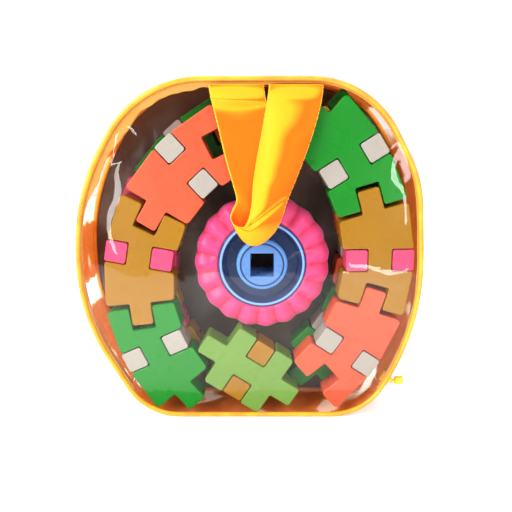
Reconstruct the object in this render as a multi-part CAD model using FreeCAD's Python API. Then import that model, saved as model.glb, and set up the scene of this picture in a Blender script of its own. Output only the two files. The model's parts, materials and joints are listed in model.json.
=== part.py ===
import FreeCAD, Part
import math
import os

from FreeCAD import Vector

# A zipped carry bag with clear panels, holding a set of interlocking blocks and one wheel.
# Millimetres. +Z is up, the bag's front faces -Y, and the origin is the middle of its flat base.

# ---- Bag ----------------------------------------------------------------------------------
# Corners of the bag's outline seen from the front: x, z and the radius that rounds each one.
BAG_CORNERS = [
    (-80.0, 0.0, 45.0),
    (89.0, 0.0, 45.0),
    (131.0, 72.0, 180.0),
    (123.0, 182.0, 90.0),
    (84.0, 252.0, 70.0),
    (-77.0, 252.0, 80.0),
    (-125.0, 170.0, 160.0),
    (-127.0, 81.0, 148.0),
]
ZIP_SIDE_CORNER = 2         # the outline corner whose arc the slider travels along

HALF_DEPTH = 22.0           # from the bag's middle plane to the middle of each piping bead
PIPING_RADIUS = 1.75
PIPING_INSET = 2.0          # from the outline to the middle of the bead
PANEL_THICKNESS = 0.5
PANEL_INSET = PIPING_INSET + PIPING_RADIUS
BINDING_WIDTH = 5.0
BINDING_THICKNESS = 0.6
FOLD_HEIGHT = 22.0          # the front panel folds here when the zip is open
BEAD_FOLD_GAP = 1.8         # from the fold to the cut end of each bead
FABRIC_FOLD_GAP = 0.3

FABRIC_OUTER_INSET = 0.8
FABRIC_THICKNESS = 1.0
BEAD_CLEARANCE = 0.05       # between a bead and the fabric sewn behind it
TAPE_WIDTH = 4.0
COIL_WIDTH = 1.1
COIL_GAP = 1.2              # the slot between the two halves of the coil
COIL_PROUD = 0.6            # how far the coil stands out of the outline
COIL_DEPTH = 2.6
STOP_HEIGHT = 2.4

# ---- Zip slider and pull ------------------------------------------------------------------
SLIDER_ANGLE = 1.8          # degrees up the side arc from its lower end
SLIDER_LENGTH = 9.0
SLIDER_WIDTH = 8.0
SLIDER_PLATE = 1.1
SLIDER_CLEARANCE = 0.4
PLATE_CORNER_RADIUS = 2.0
POST_INSET = 1.0            # from the slider's nose to its post
POST_LENGTH = 2.4
POST_WIDTH = 0.6
LUG_LENGTH = 3.0
LUG_WIDTH = 1.2
BAR_RADIUS = 0.6
BAR_LENGTH = 4.6
BAR_RISE = 2.2              # from the slider's top face to the middle of the bar
PULL_EYE_RADIUS = 1.3
PULL_HOLE_RADIUS = 0.66
PULL_EYE_WIDTH = 2.0
PULL_EYE_PLAY = 0.15
PULL_NECK_WIDTH = 1.6
PULL_NECK_LENGTH = 3.0
PULL_LENGTH = 9.5
PULL_BREADTH = 6.0
PULL_DEPTH = 4.0
PULL_CORNER_RADIUS = 1.3
PULL_LIFT = 30.0            # degrees that the pull is lifted from straight out, to lie level

# ---- Ribbon handle ------------------------------------------------------------------------
HANDLE_HINGE_Z = 241.0
HINGE_GAP = 0.6             # from the hinge line to the cloth above it and below it
SEWN_END_TOP_Z = 246.0
HANDLE_THICKNESS = 4.4
HANDLE_GAP = 0.4            # between the front panel and the hanging ribbon
HANDLE_LEFT = -27.5
HANDLE_RIGHT = 50.5
RIBBON_WIDTH = 38.0
HANDLE_CORNER_RADIUS = 0.5
# The hanging loop's outline below the hinge, from its top right corner clockwise.
HANDLE_OUTLINE = [
    (HANDLE_RIGHT, HANDLE_HINGE_Z - HINGE_GAP),
    (48.5, 232.0),
    (37.0, 199.0),
    (28.0, 165.0),
    (18.0, 140.0),
    (7.0, 134.0),
    (-6.0, 146.0),
    (-12.5, 158.0),
    (-9.0, 170.0),
    (HANDLE_LEFT, HANDLE_HINGE_Z - HINGE_GAP),
]

# ---- Blocks -------------------------------------------------------------------------------
UNIT = 17.0                 # the blocks' module: width of a tab, a notch and an arm
BLOCK_THICKNESS = 20.0
BLOCK_HALF_WIDTH = 1.5 * UNIT
RING_HALF_LENGTH = 36.0     # from the bend to each end face
RING_BEND = 18.0            # degrees between the block's two halves
RING_END_TILT = 7.0         # degrees that each end face leans beyond square
STRAIGHT_HALF_LENGTH = 24.5
TAB_LENGTH = 16.8
TAB_WIDTH = 15.8
NOTCH_WIDTH = 17.4
NOTCH_DEPTH = 17.2
JOINT_GAP = 3.0             # between the end faces of two linked blocks
BODY_CORNER_RADIUS = 3.0
MOUTH_RADIUS = 2.0
INNER_RADIUS = 1.4
BLOCK_RIM_RADIUS = 0.9

PEG_SIZE = 15.6
PEG_OFFSET = 16.9           # from the block's centre line to the peg's middle
PEG_CORNER_RADIUS = 1.8
PEG_RIM_RADIUS = 0.7
KEY_PEG_PROUD = 0.6         # how far a key peg stands out of the end notch that holds it
TENON_WIDTH = 6.0
TENON_THICKNESS = 12.0
TENON_DEPTH = 2.5
TENON_PLAY = 0.05
TENON_ROOT = 1.0             # how far the tenon runs inside its peg

FRONT_LAYER_Y = -20.9       # front face of the front layer of blocks
BACK_LAYER_Y = -0.3         # front face of the layer behind it

# The first block of each linked row: x, z and heading in degrees, then the turns that follow it.
FRONT_LEFT_ROW = (-43.9, 191.0, 222.8, (5.0, 3.0))
FRONT_RIGHT_ROW = (74.2, 51.9, 56.6, (2.0, 0.0))
BACK_LEFT_ROW = (-41.5, 200.5, 221.0, (4.0, 4.0))
BACK_RIGHT_ROW = (74.0, 200.5, 302.0, (0.0, 2.0))
STRAIGHT_BLOCK_PLACE = (-0.5, 37.0, -33.0)

# ---- Wheel --------------------------------------------------------------------------------
WHEEL_X = 9.5
WHEEL_Z = 119.8
WHEEL_WIDTH = 32.0
TYRE_RADIUS = 50.8
TYRE_SEAT_RADIUS = 32.4
TYRE_SHOULDER_RADIUS = 46.5
TYRE_SEAT_WIDTH = 28.0
TYRE_WALL_RADIUS = 39.0      # where the side walls bulge most
TYRE_WALL_INSET = 1.2        # from the wheel's end faces to the side walls
TYRE_SHOULDER_INSET = 3.0    # from the side walls to the shoulders
RIM_LIP_RADIUS = 30.6
RIM_DISH_RADIUS = 29.2
RIM_LIP_HEIGHT = 0.6         # from the tyre seat's edge to the crest of the rim's lip
RIM_LIP_STEP = 0.4           # the lip's inner edge, in radius and in height
RIM_SEAT_SLOPE = 0.3
RIM_DISH_DEPTH = 1.5         # from the tyre seat's edge down to the dish's wall
RIM_DISH_SLOPE = 3.0         # how far the dish narrows down to the web
RIM_WEB = 12.0              # thickness of the dished web
BOSS_RADIUS = 18.6
BOSS_CREST = 17.2
BOSS_CHAMFER = 1.4
BOSS_FLARE = 0.6             # how much wider the boss is where it meets the web
DISC_RADIUS = 15.0
DISC_THICKNESS = 4.0
SLEEVE_RADIUS = 13.4
SPIN_CLEARANCE = 0.06       # radial, between the bush and the rim
SIDE_CLEARANCE = 0.15       # axial, between the bush's discs and the rim
SLEEVE_SHORTFALL = 0.5       # from the wheel's rear face to the end of the sleeve
SQUARE_HOLE = 17.3
FAR = 400.0                  # further out than any part, for boxes that cut


# ---- Plane geometry -----------------------------------------------------------------------
def turned(x, z, degrees):
    """The point (x, z) turned anticlockwise about the origin, seen from the front."""
    angle = math.radians(degrees)
    return (
        x * math.cos(angle) - z * math.sin(angle),
        x * math.sin(angle) + z * math.cos(angle),
    )


def rounded_wire(corners, y):
    """A closed wire in the plane Y = y through corners of (x, z, radius)."""
    spots = [Vector(x, y, z) for x, z, _ in corners]
    starts = []
    middles = []
    finishes = []
    for index, (_, _, radius) in enumerate(corners):
        spot = spots[index]
        back = (spots[index - 1] - spot).normalize()
        ahead = (spots[(index + 1) % len(spots)] - spot).normalize()
        half = back.getAngle(ahead) / 2.0
        inward = (back + ahead).normalize()
        reach = radius / math.tan(half)
        starts.append(spot + back * reach)
        finishes.append(spot + ahead * reach)
        middles.append(spot + inward * (radius / math.sin(half) - radius))
    edges = []
    for index in range(len(corners)):
        following = (index + 1) % len(corners)
        arc = Part.Arc(starts[index], middles[index], finishes[index])
        edges.append(arc.toShape())
        if finishes[index].distanceToPoint(starts[following]) > 1e-4:
            line = Part.LineSegment(finishes[index], starts[following])
            edges.append(line.toShape())
    return Part.Wire(edges)


def prism(wire, y_start, y_end):
    """The solid between Y = y_start, where the wire lies, and Y = y_end."""
    return Part.Face(wire).extrude(Vector(0, y_end - y_start, 0))


def slab(corners, y_start, y_end):
    """A solid with a rounded outline, between two planes of constant Y."""
    return prism(rounded_wire(corners, y_start), y_start, y_end)


def box_between(x_range, y_range, z_range):
    """A box from its limits along X, Y and Z."""
    return Part.makeBox(
        x_range[1] - x_range[0],
        y_range[1] - y_range[0],
        z_range[1] - z_range[0],
        Vector(x_range[0], y_range[0], z_range[0]),
    )


def soften_rims(solid, y_values, radius):
    """Round every edge that lies in one of the planes Y = y_values."""
    rims = []
    for edge in solid.Edges:
        box = edge.BoundBox
        for y in y_values:
            if abs(box.YMin - y) < 1e-5 and abs(box.YMax - y) < 1e-5:
                rims.append(edge)
    return solid.makeFillet(radius, rims)


# ---- Bag outline --------------------------------------------------------------------------
def bag_corners(inset):
    """The bag's outline moved inward by inset, as corners of (x, z, radius)."""
    count = len(BAG_CORNERS)
    moved = []
    for index, (x, z, radius) in enumerate(BAG_CORNERS):
        before = BAG_CORNERS[index - 1]
        after = BAG_CORNERS[(index + 1) % count]
        spot = Vector(x, 0, z)
        back = (Vector(before[0], 0, before[1]) - spot).normalize()
        ahead = (Vector(after[0], 0, after[1]) - spot).normalize()
        half = back.getAngle(ahead) / 2.0
        spot = spot + (back + ahead).normalize() * (inset / math.sin(half))
        moved.append((spot.x, spot.z, radius - inset))
    return moved


def side_arc_centre():
    """Centre of the outline's arc along the slider's side, as (x, z)."""
    x, z, radius = BAG_CORNERS[ZIP_SIDE_CORNER]
    before = BAG_CORNERS[ZIP_SIDE_CORNER - 1]
    after = BAG_CORNERS[ZIP_SIDE_CORNER + 1]
    spot = Vector(x, 0, z)
    back = (Vector(before[0], 0, before[1]) - spot).normalize()
    ahead = (Vector(after[0], 0, after[1]) - spot).normalize()
    half = back.getAngle(ahead) / 2.0
    centre = spot + (back + ahead).normalize() * (radius / math.sin(half))
    return centre.x, centre.z


def side_arc_start():
    """Angle in degrees, from +X, at which the slider's side arc begins."""
    before = BAG_CORNERS[ZIP_SIDE_CORNER - 1]
    corner = BAG_CORNERS[ZIP_SIDE_CORNER]
    return math.degrees(math.atan2(corner[1] - before[1], corner[0] - before[0])) - 90.0


def ring_band(outer_inset, inner_inset, y_start, y_end):
    """A closed band that follows the outline."""
    outer = slab(bag_corners(outer_inset), y_start, y_end)
    inner = slab(bag_corners(inner_inset), y_start, y_end)
    return outer.cut(inner)


def above(height):
    """A box that holds everything over a height."""
    return box_between((-FAR, FAR), (-FAR, FAR), (height, FAR))


def below(height):
    """A box that holds everything under a height."""
    return box_between((-FAR, FAR), (-FAR, FAR), (-FAR, height))


# ---- Bag parts ----------------------------------------------------------------------------
def piping(y):
    """The closed round bead along a panel's edge."""
    path = rounded_wire(bag_corners(PIPING_INSET), y)
    first = path.OrderedEdges[0]
    start = first.valueAt(first.FirstParameter)
    heading = first.tangentAt(first.FirstParameter)
    circle = Part.Circle(start, heading, PIPING_RADIUS)
    profile = Part.Wire([circle.toShape()])
    return path.makePipeShell([profile], True, False)


def panel(y):
    """A flat clear or dark panel inside its bead."""
    near = y - PANEL_THICKNESS / 2.0
    far = y + PANEL_THICKNESS / 2.0
    return slab(bag_corners(PANEL_INSET), near, far)


def binding(y_start):
    """The strip of fabric that covers the seam inside the front panel."""
    return ring_band(
        PANEL_INSET, PANEL_INSET + BINDING_WIDTH, y_start, y_start + BINDING_THICKNESS
    )


def fabric_band(y_start, y_end):
    """The bag's side fabric, all the way round."""
    inner_inset = FABRIC_OUTER_INSET + FABRIC_THICKNESS
    return ring_band(FABRIC_OUTER_INSET, inner_inset, y_start, y_end)


def base_band(y_start, y_end):
    """The base gusset, which reaches down to the surface that the bag stands on."""
    inner_inset = FABRIC_OUTER_INSET + FABRIC_THICKNESS
    return ring_band(0.0, inner_inset, y_start, y_end).common(below(FOLD_HEIGHT))


def coil(y_start, y_end):
    """One half of the zip's coil."""
    return ring_band(-COIL_PROUD, COIL_DEPTH - COIL_PROUD, y_start, y_end)


def bag_parts():
    """Panels, piping, gussets and the zip's tapes, coils and end stops."""
    front = -HALF_DEPTH
    back = HALF_DEPTH
    behind_bead = front + PIPING_RADIUS + BEAD_CLEARANCE
    zip_middle = behind_bead + TAPE_WIDTH + COIL_WIDTH + COIL_GAP / 2.0
    front_coil_end = zip_middle - COIL_GAP / 2.0
    rear_coil_start = zip_middle + COIL_GAP / 2.0
    rear_tape_start = rear_coil_start + COIL_WIDTH
    gusset_start = rear_tape_start + TAPE_WIDTH
    gusset_end = back - PIPING_RADIUS - BEAD_CLEARANCE

    bead = piping(front)
    clear_panel = panel(front)
    seam_strip = binding(front + PANEL_THICKNESS / 2.0 + BEAD_CLEARANCE)
    over_fold = above(FOLD_HEIGHT + FABRIC_FOLD_GAP)
    under_fold = below(FOLD_HEIGHT - FABRIC_FOLD_GAP)
    return {
        "front_panel": clear_panel.common(over_fold),
        "front_panel_foot": clear_panel.common(under_fold),
        "front_piping": bead.common(above(FOLD_HEIGHT + BEAD_FOLD_GAP)),
        "front_piping_foot": bead.common(below(FOLD_HEIGHT - BEAD_FOLD_GAP)),
        "front_seam_binding": seam_strip.common(over_fold),
        "front_zip_tape": fabric_band(behind_bead, behind_bead + TAPE_WIDTH).common(over_fold),
        "front_zip_coil": coil(front_coil_end - COIL_WIDTH, front_coil_end).common(over_fold),
        "rear_zip_coil": coil(rear_coil_start, rear_tape_start).common(over_fold),
        "rear_zip_tape": fabric_band(rear_tape_start, gusset_start).common(over_fold),
        "side_gusset": fabric_band(gusset_start, gusset_end).common(above(FOLD_HEIGHT)),
        "base_gusset": base_band(behind_bead, gusset_end),
        "back_panel": panel(back),
        "back_piping": piping(back),
    }


def zip_middle_y():
    """The plane between the two halves of the coil."""
    return -HALF_DEPTH + PIPING_RADIUS + BEAD_CLEARANCE + TAPE_WIDTH + COIL_WIDTH + COIL_GAP / 2.0


def on_side_arc(solid, degrees_up):
    """Move a piece made at the origin, +Z outward and +X down the zip, onto the side arc."""
    centre_x, centre_z = side_arc_centre()
    radius = BAG_CORNERS[ZIP_SIDE_CORNER][2]
    angle = side_arc_start() + degrees_up
    x = centre_x + radius * math.cos(math.radians(angle))
    z = centre_z + radius * math.sin(math.radians(angle))
    moved = solid.copy()
    moved.rotate(Vector(0, 0, 0), Vector(0, 1, 0), 90.0 - angle)
    moved.translate(Vector(x, zip_middle_y(), z))
    return moved


def slider_plate(bottom, widths):
    """One plate of the slider, with rounded corners."""
    half_length = SLIDER_LENGTH / 2.0
    plate = box_between((-half_length, half_length), widths, (bottom, bottom + SLIDER_PLATE))
    uprights = [edge for edge in plate.Edges if edge.BoundBox.ZLength > SLIDER_PLATE / 2.0]
    return plate.makeFillet(PLATE_CORNER_RADIUS, uprights)


def slider_body():
    """The slider: outer plate, inner plate behind the slot, post, and the lugs and bar."""
    half_width = SLIDER_WIDTH / 2.0
    upper = COIL_PROUD + SLIDER_CLEARANCE
    lower = COIL_PROUD - COIL_DEPTH - SLIDER_CLEARANCE
    top = upper + SLIDER_PLATE
    outer_plate = slider_plate(upper, (-half_width, half_width))
    inner_plate = slider_plate(lower - SLIDER_PLATE, (-POST_WIDTH / 2.0, half_width))
    nose = SLIDER_LENGTH / 2.0 - POST_INSET
    post = box_between(
        (nose - POST_LENGTH, nose),
        (-POST_WIDTH / 2.0, POST_WIDTH / 2.0),
        (lower - SLIDER_PLATE / 2.0, upper + SLIDER_PLATE / 2.0),
    )
    body = outer_plate.fuse(inner_plate).fuse(post)
    for side in (-1, 1):
        near = side * (PULL_EYE_WIDTH / 2.0 + PULL_EYE_PLAY)
        far = near + side * LUG_WIDTH
        lug = box_between(
            (-LUG_LENGTH / 2.0, LUG_LENGTH / 2.0),
            (min(near, far), max(near, far)),
            (top - SLIDER_PLATE / 2.0, top + BAR_RISE + 2.0 * BAR_RADIUS),
        )
        body = body.fuse(lug)
    start = Vector(0, -BAR_LENGTH / 2.0, top + BAR_RISE)
    bar = Part.makeCylinder(BAR_RADIUS, BAR_LENGTH, start, Vector(0, 1, 0))
    return body.fuse(bar).removeSplitter()


def bar_height():
    """From the outline out to the middle of the slider's bar."""
    return COIL_PROUD + SLIDER_CLEARANCE + SLIDER_PLATE + BAR_RISE


def pull_tab():
    """The moulded pull, lifted from straight out by PULL_LIFT."""
    height = bar_height()
    half_eye = PULL_EYE_WIDTH / 2.0
    start = Vector(0, -half_eye, height)
    eye = Part.makeCylinder(PULL_EYE_RADIUS, PULL_EYE_WIDTH, start, Vector(0, 1, 0))
    neck = box_between(
        (-PULL_NECK_WIDTH / 2.0, PULL_NECK_WIDTH / 2.0),
        (-half_eye, half_eye),
        (height, height + PULL_NECK_LENGTH),
    )
    grip = box_between(
        (-PULL_BREADTH / 2.0, PULL_BREADTH / 2.0),
        (-PULL_DEPTH / 2.0, PULL_DEPTH / 2.0),
        (height + 2.0 * PULL_EYE_RADIUS, height + PULL_LENGTH),
    )
    grip = grip.makeFillet(PULL_CORNER_RADIUS, grip.Edges)
    pull = eye.fuse(neck).fuse(grip)
    start = Vector(0, -PULL_DEPTH, height)
    hole = Part.makeCylinder(PULL_HOLE_RADIUS, 2.0 * PULL_DEPTH, start, Vector(0, 1, 0))
    pull = pull.cut(hole).removeSplitter()
    pull.rotate(Vector(0, 0, height), Vector(0, 1, 0), -PULL_LIFT)
    return pull


def zip_stop(side):
    """The end stop sewn over the coil's end, as a small clip on the base gusset."""
    stop = ring_band(
        -COIL_PROUD,
        FABRIC_OUTER_INSET,
        zip_middle_y() - TAPE_WIDTH / 2.0,
        zip_middle_y() + TAPE_WIDTH / 2.0,
    )
    low = FOLD_HEIGHT - FABRIC_FOLD_GAP - STOP_HEIGHT
    end = (0.0, FAR) if side > 0 else (-FAR, 0.0)
    stop = stop.common(box_between(end, (-FAR, FAR), (low, low + STOP_HEIGHT)))
    base = base_band(zip_middle_y() - TAPE_WIDTH, zip_middle_y() + TAPE_WIDTH)
    return stop.cut(base)


# ---- Handle -------------------------------------------------------------------------------
def handle_parts():
    """The hanging ribbon loop, and its two ends sewn on the front panel."""
    panel_front = -HALF_DEPTH - PANEL_THICKNESS / 2.0
    bead_front = -HALF_DEPTH - PIPING_RADIUS
    back = bead_front - HANDLE_GAP
    corners = [(x, z, HANDLE_CORNER_RADIUS) for x, z in reversed(HANDLE_OUTLINE)]
    loop = slab(corners, back - HANDLE_THICKNESS, back)
    ends = []
    for left in (HANDLE_LEFT, HANDLE_RIGHT - RIBBON_WIDTH):
        end = box_between(
            (left, left + RIBBON_WIDTH),
            (bead_front, panel_front),
            (HANDLE_HINGE_Z + HINGE_GAP, SEWN_END_TOP_Z),
        )
        ends.append(end)
    return {"ribbon_handle": loop, "ribbon_sewn_ends": Part.makeCompound(ends)}


# ---- Blocks -------------------------------------------------------------------------------
class BlockShape:
    """Outline of one kind of block, in its own plane with +X along its heading."""

    def __init__(self, half_length, bend, tilt, starts_with_tab):
        self.half_length = half_length
        self.bend = bend
        self.tilt = tilt
        self.starts_with_tab = starts_with_tab

    def side(self, end, along, across):
        """A point measured along one half of the block; end is -1 or 1."""
        return turned(along, across, end * self.bend / 2.0)

    def face(self, end, out, across):
        """A point measured from the middle of an end face, out of it and across it."""
        middle = self.side(end, end * self.half_length, 0.0)
        shift = turned(end * out, across, end * (self.bend / 2.0 + self.tilt))
        return middle[0] + shift[0], middle[1] + shift[1]

    def corner(self, end, across):
        """Where a long side meets an end face."""
        lean = across * math.tan(math.radians(self.tilt))
        return self.side(end, end * (self.half_length - lean), across)

    def mouth(self, end, across):
        """Where a long side meets the side notch in the middle of the block."""
        half_bend = math.radians(end * self.bend / 2.0)
        edge_x = end * UNIT / 2.0
        along = (edge_x + across * math.sin(half_bend)) / math.cos(half_bend)
        return self.side(end, along, across)

    def end_steps(self, end, with_tab):
        """Corners across an end, from the outer side to the inner side."""
        steps = [(self.corner(end, -BLOCK_HALF_WIDTH), BODY_CORNER_RADIUS)]
        half = TAB_WIDTH / 2.0 if with_tab else NOTCH_WIDTH / 2.0
        reach = TAB_LENGTH if with_tab else -NOTCH_DEPTH
        root = INNER_RADIUS if with_tab else MOUTH_RADIUS
        tip = MOUTH_RADIUS if with_tab else INNER_RADIUS
        steps.append((self.face(end, 0.0, -half), root))
        steps.append((self.face(end, reach, -half), tip))
        steps.append((self.face(end, reach, half), tip))
        steps.append((self.face(end, 0.0, half), root))
        steps.append((self.corner(end, BLOCK_HALF_WIDTH), BODY_CORNER_RADIUS))
        return steps

    def side_steps(self, side):
        """Corners of the notch in a long side, in the direction of the heading."""
        across = side * BLOCK_HALF_WIDTH
        floor = side * UNIT / 2.0
        return [
            (self.mouth(-1, across), MOUTH_RADIUS),
            ((-UNIT / 2.0, floor), INNER_RADIUS),
            ((UNIT / 2.0, floor), INNER_RADIUS),
            (self.mouth(1, across), MOUTH_RADIUS),
        ]

    def corners(self):
        """The whole outline, anticlockwise."""
        steps = self.side_steps(-1)
        steps += self.end_steps(1, True)
        steps += list(reversed(self.side_steps(1)))
        steps += list(reversed(self.end_steps(-1, self.starts_with_tab)))
        return [(x, z, radius) for (x, z), radius in steps]


RING_BLOCK = BlockShape(RING_HALF_LENGTH, RING_BEND, RING_END_TILT, False)
STRAIGHT_BLOCK = BlockShape(STRAIGHT_HALF_LENGTH, 0.0, 0.0, True)


class Placing:
    """Where a block lies: its middle, its heading, and which way it bends."""

    def __init__(self, x, z, heading, hand, front_y):
        self.x = x
        self.z = z
        self.heading = heading
        self.hand = hand
        self.front_y = front_y

    def put(self, solid):
        """Move a piece made about the origin to its place."""
        moved = solid
        if self.hand < 0:
            moved = moved.mirror(Vector(0, 0, 0), Vector(0, 0, 1))
        moved = moved.copy()
        moved.rotate(Vector(0, 0, 0), Vector(0, -1, 0), self.heading)
        moved.translate(Vector(self.x, self.front_y, self.z))
        return moved

    def next_in_chain(self, turn):
        """The place of the block whose notch takes this block's tab."""
        leaving = self.heading + self.hand * (RING_BEND / 2.0 + RING_END_TILT)
        entering = leaving + self.hand * turn
        heading = entering + self.hand * (RING_BEND / 2.0 + RING_END_TILT)
        pivot = JOINT_GAP + TAB_LENGTH / 2.0
        steps = [
            (RING_HALF_LENGTH, self.heading + self.hand * RING_BEND / 2.0),
            (pivot, leaving),
            (JOINT_GAP - pivot, entering),
            (RING_HALF_LENGTH, heading - self.hand * RING_BEND / 2.0),
        ]
        x = self.x
        z = self.z
        for length, direction in steps:
            x += length * math.cos(math.radians(direction))
            z += length * math.sin(math.radians(direction))
        return Placing(x, z, heading, self.hand, self.front_y)


def linked_row(row, hand, front_y):
    """Places of a row of linked ring blocks."""
    x, z, heading, turns = row
    places = [Placing(x, z, heading, hand, front_y)]
    for turn in turns:
        places.append(places[-1].next_in_chain(turn))
    return places


def block_solid(shape):
    """A block with softened rims and a mortise for each of its two side pegs."""
    body = slab(shape.corners(), 0.0, BLOCK_THICKNESS)
    body = soften_rims(body, (0.0, BLOCK_THICKNESS), BLOCK_RIM_RADIUS)
    half = TENON_WIDTH / 2.0 + TENON_PLAY
    edge = TENON_THICKNESS / 2.0 + TENON_PLAY
    middle = BLOCK_THICKNESS / 2.0
    for side in (-1, 1):
        floor = side * UNIT / 2.0
        bottom = side * (UNIT / 2.0 - TENON_DEPTH)
        mortise = box_between(
            (-half, half), (middle - edge, middle + edge), (min(floor, bottom), max(floor, bottom))
        )
        body = body.cut(mortise)
    return body


def peg_solid(side):
    """A square peg with the tenon that keys it to its block."""
    half = PEG_SIZE / 2.0
    corners = []
    for x, z in ((-half, -half), (half, -half), (half, half), (-half, half)):
        corners.append((x, z + side * PEG_OFFSET, PEG_CORNER_RADIUS))
    peg = slab(corners, 0.0, BLOCK_THICKNESS)
    peg = soften_rims(peg, (0.0, BLOCK_THICKNESS), PEG_RIM_RADIUS)
    middle = BLOCK_THICKNESS / 2.0
    near = side * (UNIT / 2.0 - TENON_DEPTH)
    far = side * (PEG_OFFSET - half + TENON_ROOT)
    tenon = box_between(
        (-TENON_WIDTH / 2.0, TENON_WIDTH / 2.0),
        (middle - TENON_THICKNESS / 2.0, middle + TENON_THICKNESS / 2.0),
        (min(near, far), max(near, far)),
    )
    return peg.fuse(tenon)


def key_peg_solid():
    """A plain square peg in a ring block's end notch."""
    half = PEG_SIZE / 2.0
    corners = []
    for out, across in ((0.0, -half), (PEG_SIZE, -half), (PEG_SIZE, half), (0.0, half)):
        x, z = RING_BLOCK.face(-1, KEY_PEG_PROUD - out, across)
        corners.append((x, z, PEG_CORNER_RADIUS))
    peg = slab(corners, 0.0, BLOCK_THICKNESS)
    return soften_rims(peg, (0.0, BLOCK_THICKNESS), PEG_RIM_RADIUS)


def block_places():
    """Every block's name and place, layer by layer."""
    front_left = linked_row(FRONT_LEFT_ROW, 1, FRONT_LAYER_Y)
    front_right = linked_row(FRONT_RIGHT_ROW, 1, FRONT_LAYER_Y)
    back_left = linked_row(BACK_LEFT_ROW, 1, BACK_LAYER_Y)
    back_right = linked_row(BACK_RIGHT_ROW, -1, BACK_LAYER_Y)
    x, z, heading = STRAIGHT_BLOCK_PLACE
    return {
        "block_orange_upper_left": front_left[0],
        "block_gold_left": front_left[1],
        "block_green_lower_left": front_left[2],
        "block_orange_lower_right": front_right[0],
        "block_gold_right": front_right[1],
        "block_green_upper_right": front_right[2],
        "block_straight_light_green": Placing(x, z, heading, 1, FRONT_LAYER_Y),
        "block_back_green_upper_left": back_left[0],
        "block_back_pink_left": back_left[1],
        "block_back_gold_lower_left": back_left[2],
        "block_back_green_upper_right": back_right[0],
        "block_back_orange_right": back_right[1],
        "block_back_green_lower_right": back_right[2],
    }


def block_parts():
    """All blocks and their pegs."""
    ring = block_solid(RING_BLOCK)
    straight = block_solid(STRAIGHT_BLOCK)
    inner_peg = peg_solid(1)
    outer_peg = peg_solid(-1)
    parts = {}
    for name, place in block_places().items():
        plain = straight if "straight" in name else ring
        parts[name] = place.put(plain)
        pegs = name.replace("block_", "pegs_")
        if "back_" in name:
            pair = [place.put(inner_peg), place.put(outer_peg)]
            parts[pegs] = Part.makeCompound(pair)
        else:
            parts[pegs.replace("pegs_", "peg_inner_")] = place.put(inner_peg)
            parts[pegs.replace("pegs_", "peg_outer_")] = place.put(outer_peg)
    places = block_places()
    parts["key_peg_orange"] = places["block_back_green_upper_left"].put(key_peg_solid())
    parts["key_peg_yellow"] = places["block_back_green_upper_right"].put(key_peg_solid())
    return parts


# ---- Wheel --------------------------------------------------------------------------------
def wheel_spin(points):
    """Turn a closed outline of (radius, axial) points about the wheel's axis."""
    spots = [Vector(radius, axial, 0) for radius, axial in points]
    outline = Part.makePolygon(spots + [spots[0]])
    return Part.Face(outline).revolve(Vector(0, 0, 0), Vector(0, 1, 0), 360)


def in_place(solid):
    """Move a piece made about the wheel's own middle to its place in the bag."""
    moved = solid.copy()
    moved.translate(Vector(WHEEL_X, FRONT_LAYER_Y + WHEEL_WIDTH / 2.0, WHEEL_Z))
    return moved


def tyre():
    """The soft tyre: flat bead seats, full side walls and a crowned tread."""
    seat = TYRE_SEAT_WIDTH / 2.0
    wall = WHEEL_WIDTH / 2.0 - TYRE_WALL_INSET
    shoulder = wall - TYRE_SHOULDER_INSET
    edges = [
        Part.LineSegment(Vector(TYRE_SEAT_RADIUS, seat, 0), Vector(TYRE_SEAT_RADIUS, -seat, 0)),
        Part.Arc(
            Vector(TYRE_SEAT_RADIUS, -seat, 0),
            Vector(TYRE_WALL_RADIUS, -wall, 0),
            Vector(TYRE_SHOULDER_RADIUS, -shoulder, 0),
        ),
        Part.Arc(
            Vector(TYRE_SHOULDER_RADIUS, -shoulder, 0),
            Vector(TYRE_RADIUS, 0, 0),
            Vector(TYRE_SHOULDER_RADIUS, shoulder, 0),
        ),
        Part.Arc(
            Vector(TYRE_SHOULDER_RADIUS, shoulder, 0),
            Vector(TYRE_WALL_RADIUS, wall, 0),
            Vector(TYRE_SEAT_RADIUS, seat, 0),
        ),
    ]
    outline = Part.Wire([edge.toShape() for edge in edges])
    return Part.Face(outline).revolve(Vector(0, 0, 0), Vector(0, 1, 0), 360)


def rim():
    """The rim: bead seat, raised lips, a dished web and a boss with a stepped bore."""
    face = WHEEL_WIDTH / 2.0
    seat = TYRE_SEAT_WIDTH / 2.0
    web = RIM_WEB / 2.0
    step = face - DISC_THICKNESS
    bore = SLEEVE_RADIUS + SPIN_CLEARANCE
    recess = DISC_RADIUS + SPIN_CLEARANCE
    half = [
        (bore, step),
        (recess, step),
        (recess, face),
        (BOSS_CREST, face),
        (BOSS_RADIUS, face - BOSS_CHAMFER),
        (BOSS_RADIUS + BOSS_FLARE, web),
        (RIM_DISH_RADIUS - RIM_DISH_SLOPE, web),
        (RIM_DISH_RADIUS, seat - RIM_DISH_DEPTH),
        (RIM_DISH_RADIUS + RIM_LIP_STEP, seat + RIM_LIP_STEP),
        (RIM_LIP_RADIUS, seat + RIM_LIP_HEIGHT),
        (TYRE_SEAT_RADIUS, seat - RIM_SEAT_SLOPE),
    ]
    other = [(radius, -axial) for radius, axial in reversed(half)]
    return wheel_spin(half + other)


def square_hole():
    """The square socket through the bush."""
    side = SQUARE_HOLE / 2.0
    reach = WHEEL_WIDTH
    return box_between((-side, side), (-reach, reach), (-side, side))


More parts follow.
